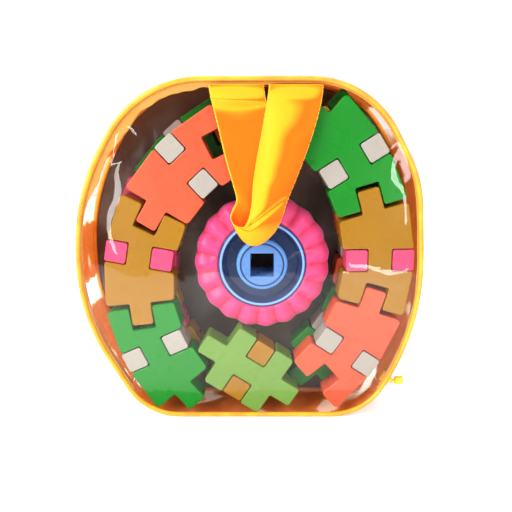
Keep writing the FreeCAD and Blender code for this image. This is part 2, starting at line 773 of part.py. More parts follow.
def bush():
    """The square-holed bush: a front disc and the sleeve that the rim turns on."""
    face = WHEEL_WIDTH / 2.0
    under_disc = face - DISC_THICKNESS + SIDE_CLEARANCE
    outline = [
        (0.0, -face),
        (DISC_RADIUS, -face),
        (DISC_RADIUS, -under_disc),
        (SLEEVE_RADIUS, -under_disc),
        (SLEEVE_RADIUS, face - SLEEVE_SHORTFALL),
        (0.0, face - SLEEVE_SHORTFALL),
    ]
    return wheel_spin(outline).cut(square_hole())


def bush_cap():
    """The snap ring that closes the bush at the back."""
    face = WHEEL_WIDTH / 2.0
    under_disc = face - DISC_THICKNESS + SIDE_CLEARANCE
    outline = [
        (SLEEVE_RADIUS, under_disc),
        (DISC_RADIUS, under_disc),
        (DISC_RADIUS, face),
        (SLEEVE_RADIUS, face),
    ]
    return wheel_spin(outline)


def wheel_parts():
    """The wheel, and the bush that it turns on."""
    return {
        "tyre": in_place(tyre()),
        "rim": in_place(rim()),
        "bush": in_place(bush()),
        "bush_cap": in_place(bush_cap()),
    }


# ---- All parts ----------------------------------------------------------------------------
def all_parts():
    """Every node's shape by name."""
    parts = bag_parts()
    parts["zip_stop_left"] = zip_stop(-1)
    parts["zip_stop_right"] = zip_stop(1)
    parts["zip_slider"] = on_side_arc(slider_body(), SLIDER_ANGLE)
    parts["zip_pull"] = on_side_arc(pull_tab(), SLIDER_ANGLE)
    parts.update(handle_parts())
    parts.update(block_parts())
    parts.update(wheel_parts())
    return parts


def joint_facts():
    """Print the joint axes, for the record."""
    centre_x, centre_z = side_arc_centre()
    radius = BAG_CORNERS[ZIP_SIDE_CORNER][2]
    angle = math.radians(side_arc_start() + SLIDER_ANGLE)
    reach = radius + bar_height()
    print("zip travel axis", round(centre_x, 3), round(centre_z, 3))
    print("pull axis", round(centre_x + reach * math.cos(angle), 3), zip_middle_y(),
          round(centre_z + reach * math.sin(angle), 3))


os.makedirs("parts", exist_ok=True)
for node, shape in all_parts().items():
    shape.exportStep("parts/" + node + ".step")
joint_facts()
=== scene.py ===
import json
import math

import bpy
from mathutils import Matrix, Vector, geometry, noise


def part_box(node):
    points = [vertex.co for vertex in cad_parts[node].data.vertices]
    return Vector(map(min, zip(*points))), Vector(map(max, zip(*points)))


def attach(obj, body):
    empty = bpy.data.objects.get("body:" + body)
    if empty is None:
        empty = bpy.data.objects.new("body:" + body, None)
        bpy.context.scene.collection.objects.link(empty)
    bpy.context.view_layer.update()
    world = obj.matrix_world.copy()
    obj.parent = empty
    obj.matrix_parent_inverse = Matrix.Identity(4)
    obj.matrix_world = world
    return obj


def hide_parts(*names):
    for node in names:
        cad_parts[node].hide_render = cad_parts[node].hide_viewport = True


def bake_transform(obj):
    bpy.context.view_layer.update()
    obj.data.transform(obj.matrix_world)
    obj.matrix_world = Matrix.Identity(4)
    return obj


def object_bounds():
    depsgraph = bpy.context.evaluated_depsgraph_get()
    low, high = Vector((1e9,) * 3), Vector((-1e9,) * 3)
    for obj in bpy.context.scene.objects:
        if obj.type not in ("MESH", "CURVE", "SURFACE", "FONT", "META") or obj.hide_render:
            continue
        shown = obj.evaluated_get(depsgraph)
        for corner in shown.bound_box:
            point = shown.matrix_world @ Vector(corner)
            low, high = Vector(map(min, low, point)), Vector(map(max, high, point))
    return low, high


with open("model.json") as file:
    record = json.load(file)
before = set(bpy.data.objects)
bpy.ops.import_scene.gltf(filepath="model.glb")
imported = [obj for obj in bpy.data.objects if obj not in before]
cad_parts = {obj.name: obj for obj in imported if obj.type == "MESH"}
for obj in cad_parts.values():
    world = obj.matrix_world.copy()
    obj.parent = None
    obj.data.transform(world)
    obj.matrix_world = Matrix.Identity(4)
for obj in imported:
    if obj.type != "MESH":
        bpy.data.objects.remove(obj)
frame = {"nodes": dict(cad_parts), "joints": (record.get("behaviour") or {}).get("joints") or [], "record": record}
cad_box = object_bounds()

# Metres throughout. +Z is up, the front faces -Y.
MM = 0.001
NODES = frame["nodes"]
RECORD = frame["record"]
JOINTS = {joint["name"]: joint for joint in frame["joints"]}

FOLD_Y, FOLD_Z = JOINTS["flap_open"]["pos_m"][1:]
WHEEL_LOW, WHEEL_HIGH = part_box("rim")
WHEEL = (WHEEL_LOW + WHEEL_HIGH) / 2

PANEL_INSET = 3.75 * MM         # from the bag's outline to the panels' rim
BEAD_INSET = 2.0 * MM
BEAD_RADIUS = 1.75 * MM
FRONT_Y = FOLD_Y
BACK_Y = -FOLD_Y
RIBS = 19                       # round the tyre


# ---- Materials ----------------------------------------------------------------------------
class Shader:
    """A node material, with short ways to add and join its nodes."""

    def __init__(self, name):
        self.material = bpy.data.materials.new(name)
        self.material.use_nodes = True
        self.tree = self.material.node_tree
        self.surface = self.tree.nodes["Principled BSDF"]
        self.output = self.tree.nodes["Material Output"]

    def add(self, kind, **values):
        node = self.tree.nodes.new(kind)
        for key, value in values.items():
            setattr(node, key, value)
        return node

    def link(self, source, target):
        self.tree.links.new(source, target)

    def places(self):
        """Points in the row frame, at rest."""
        return self.add("ShaderNodeTexCoord").outputs["Object"]

    def noise(self, scale, detail=3.0, stretch=(1, 1, 1), distortion=0.0):
        """A noise value; scale counts blobs along one metre."""
        mapping = self.add("ShaderNodeMapping")
        mapping.inputs["Scale"].default_value = stretch
        self.link(self.places(), mapping.inputs["Vector"])
        node = self.add("ShaderNodeTexNoise")
        node.inputs["Scale"].default_value = scale
        node.inputs["Detail"].default_value = detail
        node.inputs["Distortion"].default_value = distortion
        self.link(mapping.outputs["Vector"], node.inputs["Vector"])
        return node.outputs["Fac"]

    def ramp(self, value, *stops):
        """Colours at places from 0 to 1."""
        node = self.add("ShaderNodeValToRGB")
        elements = node.color_ramp.elements
        while len(elements) < len(stops):
            elements.new(0.5)
        for element, (place, colour) in zip(elements, stops):
            element.position = place
            element.color = (*colour, 1.0)
        self.link(value, node.inputs["Fac"])
        return node.outputs["Color"]

    def span(self, value, low, high, start=0.3, end=0.7):
        """value from start to end, remapped to low to high."""
        node = self.add("ShaderNodeMapRange")
        node.inputs["From Min"].default_value = start
        node.inputs["From Max"].default_value = end
        node.inputs["To Min"].default_value = low
        node.inputs["To Max"].default_value = high
        self.link(value, node.inputs["Value"])
        return node.outputs["Result"]

    def bump(self, height, distance, strength=1.0, onto=None):
        node = self.add("ShaderNodeBump")
        node.inputs["Distance"].default_value = distance
        node.inputs["Strength"].default_value = strength
        self.link(height, node.inputs["Height"])
        if onto is not None:
            self.link(onto, node.inputs["Normal"])
        return node.outputs["Normal"]

    def calculate(self, operation, *values):
        """A Math node's result; each value is a number or another node's output."""
        node = self.add("ShaderNodeMath", operation=operation)
        for socket, value in zip(node.inputs, values):
            if isinstance(value, float):
                socket.default_value = value
            else:
                self.link(value, socket)
        return node.outputs["Value"]

    def beside(self, x, z):
        """Points measured from a line through X and Z that runs front to back."""
        spot = self.add("ShaderNodeMapping")
        spot.inputs["Location"].default_value = (-x, 0.0, -z)
        spot.inputs["Scale"].default_value = (1.0, 0.0, 1.0)
        self.link(self.places(), spot.inputs["Vector"])
        return spot.outputs["Vector"]

    def distance(self, vector):
        length = self.add("ShaderNodeVectorMath", operation="LENGTH")
        self.link(vector, length.inputs[0])
        return length.outputs["Value"]

    def apart(self, vector):
        """The X, Y and Z outputs of a vector."""
        node = self.add("ShaderNodeSeparateXYZ")
        self.link(vector, node.inputs["Vector"])
        return node.outputs

    def clear_patch(self, density, x, z, radius):
        """Lower a density to nearly nothing within a ragged patch round a point in X and Z."""
        away = self.distance(self.beside(x, z))
        ragged = self.calculate("MULTIPLY_ADD", self.noise(90.0, 3.0), 0.7 * radius, away)
        share = self.span(ragged, 0.06, 1.0, 1.25 * radius, 1.4 * radius)
        return self.calculate("MULTIPLY", density, share)

    def mix(self, share, first, second):
        """Mix two shaders; share is a number or another node's output."""
        node = self.add("ShaderNodeMixShader")
        if isinstance(share, float):
            node.inputs["Fac"].default_value = share
        else:
            self.link(share, node.inputs["Fac"])
        self.link(first, node.inputs[1])
        self.link(second, node.inputs[2])
        return node.outputs["Shader"]

    def coloured(self, kind, colour):
        """A shader node of one colour, such as a translucent or a transparent one."""
        node = self.add(kind)
        node.inputs["Color"].default_value = (*colour, 1.0)
        return node.outputs["BSDF"]

    def let_light_through(self, colour, share):
        """The surface, mixed with light that comes through it."""
        through = self.coloured("ShaderNodeBsdfTranslucent", colour)
        return self.mix(share, self.surface.outputs["BSDF"], through)

    def show(self, result):
        self.link(result, self.output.inputs["Surface"])

    def set(self, **values):
        for key, value in values.items():
            self.surface.inputs[key.replace("_", " ")].default_value = value

    def wire(self, source, name):
        self.link(source, self.surface.inputs[name])


def scaled(colour, factor):
    return tuple(channel * factor for channel in colour)


def mixed(first, second, share):
    return tuple(a + (b - a) * share for a, b in zip(first, second))


def plastic(name, colour, low=0.24, high=0.36):
    """Moulded plastic: faint flow marks in the colour, uneven gloss and a fine skin."""
    shader = Shader(name)
    flow = shader.noise(38.0, 2.0)
    shader.wire(shader.ramp(flow, (0.3, scaled(colour, 0.93)), (0.7, colour)), "Base Color")
    shader.wire(shader.span(shader.noise(90.0, 4.0), low, high), "Roughness")
    shader.wire(shader.bump(shader.noise(140.0, 3.0), 0.12 * MM, 0.5), "Normal")
    shader.set(Specular_IOR_Level=0.32, Coat_Weight=0.08, Coat_Roughness=0.15)
    return shader.material


def tyre_rubber_painted_shade(name, colour, crease):
    """The tyre's rubber, with painted shade in the creases between its ribs, heavier on one side of each rib."""
    shader = Shader(name)
    spot = shader.apart(shader.beside(WHEEL.x, WHEEL.z))
    angle = shader.calculate("ARCTAN2", spot["Z"], spot["X"])
    turns = shader.calculate("MULTIPLY", angle, RIBS / (2.0 * math.pi))
    middle = mixed(colour, crease, 0.45)
    # Painted shade: the colour darkens towards each valley between ribs, lopsided as if lit from one side.
    ribs = shader.ramp(
        shader.calculate("FRACT", turns),
        (0.0, crease),
        (0.06, middle),
        (0.20, colour),
        (0.62, colour),
        (0.90, middle),
        (1.0, crease),
    )
    shader.wire(ribs, "Base Color")
    shader.wire(shader.span(shader.noise(200.0, 3.0), 0.38, 0.5), "Roughness")
    shader.wire(shader.bump(shader.noise(420.0, 3.0), 0.08 * MM, 0.5), "Normal")
    shader.set(Sheen_Weight=0.15, Subsurface_Weight=0.06, Subsurface_Scale=0.003)
    return shader.material


WAVE_SCALE = 0.314              # at this scale a Wave node draws one band to the metre


def weave_height(shader, pitch):
    """Two crossed sets of threads, a little uneven."""
    heights = []
    for direction in ("X", "Z"):
        threads = shader.add("ShaderNodeTexWave", bands_direction=direction)
        threads.inputs["Scale"].default_value = WAVE_SCALE / pitch
        threads.inputs["Distortion"].default_value = 0.6
        shader.link(shader.places(), threads.inputs["Vector"])
        heights.append(threads.outputs["Fac"])
    return shader.calculate("MULTIPLY", *heights)


def cloth(name, colour, shade, pitch, translucent=0.25):
    """Woven cloth that lets some light through."""
    shader = Shader(name)
    soft = shader.noise(45.0, 3.0)
    shader.wire(shader.ramp(soft, (0.3, shade), (0.7, colour)), "Base Color")
    shader.wire(shader.span(shader.noise(300.0, 2.0), 0.5, 0.68), "Roughness")
    shader.wire(shader.bump(weave_height(shader, pitch), 0.06 * MM, 0.7), "Normal")
    shader.set(Sheen_Weight=0.5, Sheen_Roughness=0.4)
    shader.show(shader.let_light_through(colour, translucent))
    return shader.material


def satin_painted_sheen(name, colour, bright, gleam, pitch):
    """Ribbon cloth: deep orange where it lies in the bag's plane, with a painted highlight where it tilts up or
    down or faces left, towards the key light.
    """
    shader = Shader(name)
    # Painted highlight: the colour follows the object-space normal, not the lamps.
    normal = shader.apart(shader.add("ShaderNodeTexCoord").outputs["Normal"])
    tilt = shader.calculate("ABSOLUTE", normal["Z"])
    left = shader.calculate("MULTIPLY", normal["X"], -1.0)
    lean = shader.calculate("MULTIPLY_ADD", tilt, 2.4, left)
    uneven = shader.calculate("MULTIPLY_ADD", shader.noise(70.0, 3.0), 0.16, lean)
    painted_highlight_share = shader.span(uneven, 0.0, 1.0, -0.44, 0.56)
    middle = mixed(colour, bright, 0.25)
    shader.wire(shader.ramp(painted_highlight_share, (0.0, middle), (0.56, colour), (1.0, bright)), "Base Color")
    shader.wire(shader.span(shader.noise(260.0, 2.0), 0.38, 0.46), "Roughness")
    shader.wire(shader.bump(weave_height(shader, pitch), 0.05 * MM, 0.6), "Normal")
    shader.set(Specular_IOR_Level=0.3, Specular_Tint=(*gleam, 1.0))
    shader.show(shader.let_light_through(colour, 0.15))
    return shader.material


def vinyl_bead(name, colour, shade):
    """Glossy moulded piping."""
    shader = Shader(name)
    soft = shader.noise(70.0, 2.0)
    shader.wire(shader.ramp(soft, (0.3, shade), (0.65, colour)), "Base Color")
    shader.wire(shader.span(shader.noise(150.0, 2.0), 0.28, 0.42), "Roughness")
    shader.wire(shader.bump(shader.noise(260.0, 2.0), 0.15 * MM, 0.6), "Normal")
    shader.set(Specular_IOR_Level=0.4, Coat_Weight=0.1)
    return shader.material


def clear_film(name, tint, reflected, low=0.006, high=0.02):
    """Thin clear vinyl: it shows what is behind it and reflects by angle, alike from both sides."""
    shader = Shader(name)
    mirror = shader.add("ShaderNodeBsdfGlossy")
    mirror.inputs["Color"].default_value = (1.0, 1.0, 1.0, 1.0)
    shader.link(shader.span(shader.noise(55.0, 4.0), low, high), mirror.inputs["Roughness"])
    normal = shader.bump(shader.noise(26.0, 3.0, distortion=0.6), 0.5 * MM, 0.25)
    shader.link(normal, mirror.inputs["Normal"])
    clear = shader.coloured("ShaderNodeBsdfTransparent", tint)
    angle = shader.add("ShaderNodeLayerWeight")
    angle.inputs["Blend"].default_value = 0.5
    grazing = shader.calculate("POWER", angle.outputs["Facing"], 5.0)
    share = shader.calculate("MULTIPLY_ADD", grazing, 1.0 - reflected, reflected)
    shader.show(shader.mix(share, clear, mirror.outputs["BSDF"]))
    shader.tree.nodes.remove(shader.surface)
    return shader.material


def dark_film(name):
    """Smoky brown vinyl sheet, opaque and glossy."""
    shader = Shader(name)
    mottle = shader.noise(16.0, 3.0, distortion=0.8)
    colour = shader.ramp(mottle, (0.35, (0.062, 0.038, 0.029)), (0.65, (0.125, 0.080, 0.055)))
    shader.wire(colour, "Base Color")
    shader.wire(shader.span(shader.noise(45.0, 3.0), 0.14, 0.30), "Roughness")
    shader.wire(shader.bump(shader.noise(30.0, 3.0, distortion=0.5), 0.8 * MM, 0.35), "Normal")
    shader.set(Specular_IOR_Level=0.28, Coat_Weight=0.06, Coat_Roughness=0.1)
    return shader.material


def gusset_vinyl(name, colour, shade):
    """Tinted vinyl of uneven density: clear where it is stretched, deep where it is creased."""
    shader = Shader(name)
    soft = shader.noise(50.0, 3.0, distortion=0.4)
    shader.wire(shader.ramp(soft, (0.3, shade), (0.7, colour)), "Base Color")
    shader.wire(shader.span(shader.noise(120.0, 3.0), 0.16, 0.32), "Roughness")
    creases = shader.noise(85.0, 4.0, distortion=1.2)
    shader.wire(shader.bump(creases, 1.0 * MM, 0.5), "Normal")
    shader.set(Coat_Weight=0.4, Coat_Roughness=0.1)
    body = shader.let_light_through(colour, 0.55)
    clear = shader.coloured("ShaderNodeBsdfTransparent", (1.0, 0.96, 0.92))
    density = shader.span(shader.noise(24.0, 2.0, distortion=0.5), 0.96, 0.2, 0.58, 0.64)
    for x, z, radius in CLEAR_PATCHES:
        density = shader.clear_patch(density, x, z, radius)
    shader.show(shader.mix(density, clear, body))
    return shader.material


def wheel_rim_painted_lip(name):
    """Blue plastic rim: a painted highlight ring on its lip, a navy dish and a lighter boss."""
    shader = Shader(name)
    radius = shader.distance(shader.beside(WHEEL.x, WHEEL.z))
    boss = (0.10, 0.26, 0.62)
    navy = (0.028, 0.045, 0.115)
    pale = (0.20, 0.34, 0.74)
    steps = shader.ramp(
        shader.span(radius, 0.0, 1.0, 12.0 * MM, 34.0 * MM),
        (0.0, navy),
        (0.19, navy),
        (0.21, boss),
        (0.30, boss),
        (0.325, navy),
        (0.79, navy),
        # Painted highlight: the pale ring stands in for the light that the lip catches.
        (0.805, pale),
        (0.86, pale),
        (0.88, navy),
    )
    shader.wire(steps, "Base Color")
    shader.wire(shader.span(shader.noise(120.0, 3.0), 0.2, 0.32), "Roughness")
    shader.wire(shader.bump(shader.noise(160.0, 3.0), 0.1 * MM, 0.5), "Normal")
    shader.set(Specular_IOR_Level=0.2, Coat_Weight=0.03, Coat_Roughness=0.12)
    return shader.material


# Places along the side where the gusset's vinyl is clear: x, z and radius.
CLEAR_PATCHES = (
    (-0.124, 0.184, 0.020),
    (-0.126, 0.158, 0.012),
    (-0.117, 0.094, 0.012),
    (0.098, 0.226, 0.011),
)
YELLOW = (0.90, 0.30, 0.012)
DEEP_YELLOW = (0.82, 0.19, 0.007)
MATERIALS = {
    "orange_plastic": plastic("orange_plastic", (0.62, 0.078, 0.030)),
    "gold_plastic": plastic("gold_plastic", (0.30, 0.135, 0.002)),
    "green_plastic": plastic("green_plastic", (0.005, 0.19, 0.011)),
    "light_green_plastic": plastic("light_green_plastic", (0.135, 0.26, 0.042)),
    "pink_plastic": plastic("pink_plastic", (0.62, 0.050, 0.135)),
    "white_plastic": plastic("white_plastic", (0.33, 0.30, 0.26)),
    "orange_red_plastic": plastic("orange_red_plastic", (0.62, 0.05, 0.015)),
    "yellow_plastic": plastic("yellow_plastic", (0.75, 0.50, 0.04)),
    "navy_plastic": plastic("navy_plastic", (0.03, 0.05, 0.16)),
    "blue_plastic": plastic("blue_plastic", (0.085, 0.20, 0.47)),
    "yellow_coil": plastic("yellow_coil", (0.93, 0.50, 0.02), 0.35, 0.5),
    # The tyre's second colour is painted shade for the valleys between its ribs.
    "pink_rubber": tyre_rubber_painted_shade("pink_rubber", (0.64, 0.030, 0.155), (0.52, 0.008, 0.058)),
    # The rim's pale ring on its lip is a painted highlight.
    "rim_blue": wheel_rim_painted_lip("rim_blue"),
    "piping": vinyl_bead("piping", YELLOW, DEEP_YELLOW),
    "tape": cloth("zip_tape", (0.90, 0.42, 0.02), (0.75, 0.27, 0.012), 0.7 * MM),
    "binding": cloth("binding", (0.72, 0.38, 0.070), (0.66, 0.30, 0.040), 0.6 * MM, 0.35),
    # The ribbon's second colour is a painted highlight for the parts that face the key light.
    "ribbon": satin_painted_sheen(
        "ribbon", (0.95, 0.106, 0.006), (0.93, 0.30, 0.013), (1.0, 0.70, 0.08), 0.55 * MM
    ),
    "stitch": plastic("stitch", (0.98, 0.66, 0.06), 0.5, 0.65),
    "gusset": gusset_vinyl("gusset_vinyl", (0.86, 0.38, 0.11), (0.48, 0.13, 0.04)),
    "clear": clear_film("clear_film", (0.90, 0.90, 0.90), 0.021),
    "dark": dark_film("dark_film"),
}


def paint(piece, name):
    """Give a piece one material."""
    piece.data.materials.clear()
    piece.data.materials.append(MATERIALS[name])
    return piece


def paint_cad_nodes():
    """Every carried-over CAD node takes the material of its slot in the record."""
    special = {"rim": "rim_blue", "zip_stop_left": "yellow_coil", "zip_stop_right": "yellow_coil"}
    for row in RECORD["subparts"]:
        name = special.get(row["node"], row["material_slot"])
        if name in MATERIALS:
            paint(NODES[row["node"]], name)


# ---- Meshes -------------------------------------------------------------------------------
def make_piece(name, points, faces, material, smooth=True):
    mesh = bpy.data.meshes.new(name)
    mesh.from_pydata([tuple(p) for p in points], [], faces)
    mesh.validate()
    mesh.polygons.foreach_set("use_smooth", [smooth] * len(mesh.polygons))
    piece = bpy.data.objects.new(name, mesh)
    bpy.context.scene.collection.objects.link(piece)
    paint(piece, material)
    return piece


def apply_modifiers(piece):
    """Freeze a piece's modifiers into its mesh."""
    graph = bpy.context.evaluated_depsgraph_get()
    mesh = bpy.data.meshes.new_from_object(piece.evaluated_get(graph))
    piece.modifiers.clear()
    piece.data = mesh
    return piece


def thicken(piece, thickness, offset=0.0):
    modifier = piece.modifiers.new("thickness", "SOLIDIFY")
    modifier.thickness = thickness
    modifier.offset = offset
    return apply_modifiers(piece)


def grid_faces(rows, columns, close_rows=False, close_columns=False):
    """Quads of a grid of rows by columns of points."""
    faces = []
    for row in range(rows if close_rows else rows - 1):
        for column in range(columns if close_columns else columns - 1):
            below = (row + 1) % rows
            right = (column + 1) % columns
            faces.append((
                row * columns + column,
                row * columns + right,
                below * columns + right,
                below * columns + column,
            ))
    return faces


def smooth_step(value, start, end):
    share = min(1.0, max(0.0, (value - start) / (end - start)))
    return share * share * (3.0 - 2.0 * share)


def wave(x, y, z, scale, seed=0.0):
    """Smooth noise from -1 to 1; scale counts blobs along one metre."""
    return noise.noise(Vector((x * scale + seed, y * scale - seed, z * scale + 2.0 * seed)))


# ---- The bag's outline --------------------------------------------------------------------
class Outline:
    """The panels' rim as an even closed path in X and Z, with outward normals."""

    COUNT = 1400
    SOFTEN = 8

    def __init__(self, node):
        spots = [(v.co.x, v.co.z) for v in NODES[node].data.vertices]
        corners = [Vector(spots[index]) for index in geometry.convex_hull_2d(spots)]
        if self.signed_area(corners) < 0:
            corners.reverse()
        even = self.resample(corners, self.COUNT)
        self.points = []
        for index in range(self.COUNT):
            total = Vector((0.0, 0.0))
            for step in range(-self.SOFTEN, self.SOFTEN + 1):
                total += even[(index + step) % self.COUNT]
            self.points.append(total / (2 * self.SOFTEN + 1))
        self.normals = []
        for index in range(self.COUNT):
            along = self.points[(index + 1) % self.COUNT] - self.points[index - 1]
            self.normals.append(Vector((along.y, -along.x)).normalized())

    @staticmethod
    def signed_area(corners):
        total = 0.0
        for index, here in enumerate(corners):
            after = corners[(index + 1) % len(corners)]
            total += here.x * after.y - after.x * here.y
        return total / 2.0

    @staticmethod
    def resample(corners, count):
        lengths = [0.0]
        for index, here in enumerate(corners):
            lengths.append(lengths[-1] + (corners[(index + 1) % len(corners)] - here).length)
        spots = []
        segment = 0
        for index in range(count):
            target = lengths[-1] * index / count
            while lengths[segment + 1] < target:
                segment += 1
            share = (target - lengths[segment]) / (lengths[segment + 1] - lengths[segment])
            spots.append(corners[segment].lerp(corners[(segment + 1) % len(corners)], share))
        return spots

    def at(self, position, inset):
        """The point and outward normal at a position from 0 to 1 round the outline."""
        place = (position % 1.0) * self.COUNT
        index = int(place)
        share = place - index
        after = (index + 1) % self.COUNT
        index %= self.COUNT
        normal = self.normals[index].lerp(self.normals[after], share).normalized()
        spot = self.points[index].lerp(self.points[after], share)
        return spot + normal * (PANEL_INSET - inset), normal

    def crossings(self, inset, height):
        """Positions where the outline passes a height, first going up, then going down."""
        found = []
        for index in range(self.COUNT):
            here = self.at(index / self.COUNT, inset)[0].y - height
            after = self.at((index + 1) / self.COUNT, inset)[0].y - height
            if (here < 0) != (after < 0):
                share = here / (here - after)
                found.append(((index + share) / self.COUNT, after > here))
        up = next(position for position, rises in found if rises)
        down = next(position for position, rises in found if not rises)
        return up, down

    def span_above(self, inset, height, count):
        """Positions along the part that is above a height, from the right side over the top."""
        up, down = self.crossings(inset, height)
        length = (down - up) % 1.0
        return [up + length * index / (count - 1) for index in range(count)]

    def span_below(self, inset, height, count):
        """Positions along the part that is below a height."""
        up, down = self.crossings(inset, height)
        length = (up - down) % 1.0
        return [down + length * index / (count - 1) for index in range(count)]


OUTLINE = Outline("back_panel")
CENTRE = Vector((0.5 * (cad_box[0].x + cad_box[1].x), 0.5 * (cad_box[0].z + cad_box[1].z)))


# ---- Panels -------------------------------------------------------------------------------
def film_lift(x, z, seed):
    """How far a panel bulges: long soft waves, and sharper creases that fade into them."""
    soft = 0.9 * wave(x, 0.0, z, 13.0, seed) + 0.62 * wave(x, 0.0, 0.7 * z, 34.0, seed + 3.0)
    crease = 1.0 - abs(wave(x, 0.0, 1.4 * z, 22.0, seed + 7.0)) * 6.0
    patch = smooth_step(wave(x, 0.0, z, 9.0, seed + 11.0), 0.0, 0.4)
    return soft + 0.22 * max(0.0, crease) ** 2 * patch


FILM_RINGS = 110
FILM_SPOKES = 520
FILM_HELD = 0.93                # share of the way to the rim where the film starts to lie flat
HUB_REACH = 38 * MM             # how far the wheel's push on the front film spreads


def film_faces():
    """Triangles round the centre, then quads out to the rim."""
    faces = [(0, 1 + spoke, 1 + (spoke + 1) % FILM_SPOKES) for spoke in range(FILM_SPOKES)]
    for ring in range(FILM_RINGS - 1):
        start = 1 + ring * FILM_SPOKES
        beyond = start + FILM_SPOKES
        for spoke in range(FILM_SPOKES):
            after = (spoke + 1) % FILM_SPOKES
            faces.append((start + spoke, beyond + spoke, beyond + after, start + after))
    return faces


def film_sheet(name, y, rim_inset, swell, press, seed, material):
    """A sheet of film with gentle waves, flat along its sewn rim."""
    points = [(CENTRE.x, y + swell * film_lift(CENTRE.x, CENTRE.y, seed), CENTRE.y)]
    for ring in range(1, FILM_RINGS + 1):
        share = ring / FILM_RINGS
        hold = 1.0 - smooth_step(share, FILM_HELD, 1.0)
        for spoke in range(FILM_SPOKES):
            rim = OUTLINE.at(spoke / FILM_SPOKES, rim_inset)[0]
            spot = CENTRE.lerp(rim, share)
            lift = swell * film_lift(spot.x, spot.y, seed)
            beside_hub = (spot - Vector((WHEEL.x, WHEEL.z))).length / HUB_REACH
            lift -= press * math.exp(-beside_hub * beside_hub)
            points.append((spot.x, y + lift * hold, spot.y))
    return make_piece(name, points, film_faces(), material)


def outline_size(inset):
    """Width and height of the outline at an inset."""
    low = Vector((1.0, 1.0))
    high = Vector((-1.0, -1.0))
    for index in range(200):
        spot = OUTLINE.at(index / 200, inset)[0]
        low = Vector((min(low.x, spot.x), min(low.y, spot.y)))
        high = Vector((max(high.x, spot.x), max(high.y, spot.y)))
    return high.x - low.x, high.y - low.y


def outline_area(inset):
    return abs(Outline.signed_area([OUTLINE.at(index / 400, inset)[0] for index in range(400)]))


def make_panels():
    rim_inset = PANEL_INSET - 0.3 * MM
    front = film_sheet("front_film", FRONT_Y, rim_inset, 0.75 * MM, 0.9 * MM, 5.0, "clear")
    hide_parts("front_panel", "front_panel_foot")
    size = outline_size(rim_inset)
    area = outline_area(rim_inset)
    hem = [make_binding()]
    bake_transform(front)

    back = film_sheet("back_sheet", BACK_Y, rim_inset, 1.3 * MM, 0.0, 21.0, "dark")
    thicken(back, 0.5 * MM)
    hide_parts("back_panel")
    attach(back, "bag")


# ---- Piping -------------------------------------------------------------------------------
def bead(name, y, seed):
    """A round bead that follows the outline, a little uneven along its length."""
    around, along = 16, 760
    points = []
    for step in range(along):
        spot, normal = OUTLINE.at(step / along, BEAD_INSET)
        uneven = wave(spot.x, y, spot.y, 55.0, seed)
        radius = BEAD_RADIUS * (1.0 + 0.05 * uneven)
        shift = 0.18 * MM * wave(spot.x, y, spot.y, 24.0, seed + 5.0)
        for turn in range(around):
            angle = 2.0 * math.pi * turn / around
            out = radius * math.cos(angle) + shift
            points.append((
                spot.x + normal.x * out,
                y + radius * math.sin(angle),
                spot.y + normal.y * out,
            ))
    return make_piece(name, points, grid_faces(along, around, True, True), "piping")


def make_piping():
    front = bead("front_bead", FRONT_Y, 2.0)
    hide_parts("front_piping", "front_piping_foot")
    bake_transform(front)
    back = bead("back_bead", BACK_Y, 9.0)
    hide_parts("back_piping")
    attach(back, "bag")


# ---- Side bands ---------------------------------------------------------------------------
BAND_INSET = 0.8 * MM
BAND_STEP = 0.9 * MM            # between points across a band


def band(name, positions, inset, y_start, y_end, thickness, pucker, seed, material):
    """A strip of cloth or vinyl along the outline, puckered outward between its two seams."""
    across = max(4, round((y_end - y_start) / BAND_STEP))
    points = []
    for position in positions:
        spot, normal = OUTLINE.at(position, inset + thickness / 2.0)
        for step in range(across + 1):
            share = step / across
            y = y_start + (y_end - y_start) * share
            hold = math.sin(math.pi * share) ** 0.6
            ripple = 0.5 + 0.5 * wave(spot.x, 0.35 * y, spot.y, 70.0, seed)
            ripple += 0.4 * abs(wave(spot.x, y, spot.y, 150.0, seed + 4.0))
            out = pucker * hold * ripple
            points.append((spot.x + normal.x * out, y, spot.y + normal.y * out))
    piece = make_piece(name, points, grid_faces(len(positions), across + 1), material)
    return thicken(piece, thickness)


def run_length(positions, inset):
    spots = [OUTLINE.at(position, inset)[0] for position in positions]
    return sum((after - here).length for here, after in zip(spots, spots[1:]))


def make_tapes(above):
    """The zip's two tapes, one on each side of the coil."""
    tapes = []
    for node, body, name in (
        ("front_zip_tape", "flap", "front_tape"),
        ("rear_zip_tape", "bag", "rear_tape"),
    ):
        low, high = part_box(node)
        tape = band(name, above, BAND_INSET, low.y, high.y, 0.6 * MM, 0.0, 1.0, "tape")
        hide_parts(node)
        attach(tape, body)
        tapes.append(tape)
    return tapes


def make_side_bands():
    above = OUTLINE.span_above(BAND_INSET, FOLD_Z + 0.4 * MM, 620)
    below = OUTLINE.span_below(BAND_INSET, FOLD_Z, 300)
    tapes = make_tapes(above)
    length = run_length(above, BAND_INSET)
    low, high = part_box("side_gusset")
    side = band("side_vinyl", above, BAND_INSET, low.y, high.y, 0.6 * MM, 1.3 * MM, 3.0, "gusset")
    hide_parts("side_gusset")
    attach(side, "bag")
    low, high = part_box("base_gusset")
    base = band("base_vinyl", below, 0.4 * MM, low.y, high.y, 0.8 * MM, 0.0, 6.0, "gusset")
    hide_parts("base_gusset")
    length = run_length(below, BAND_INSET)
    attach(base, "bag")


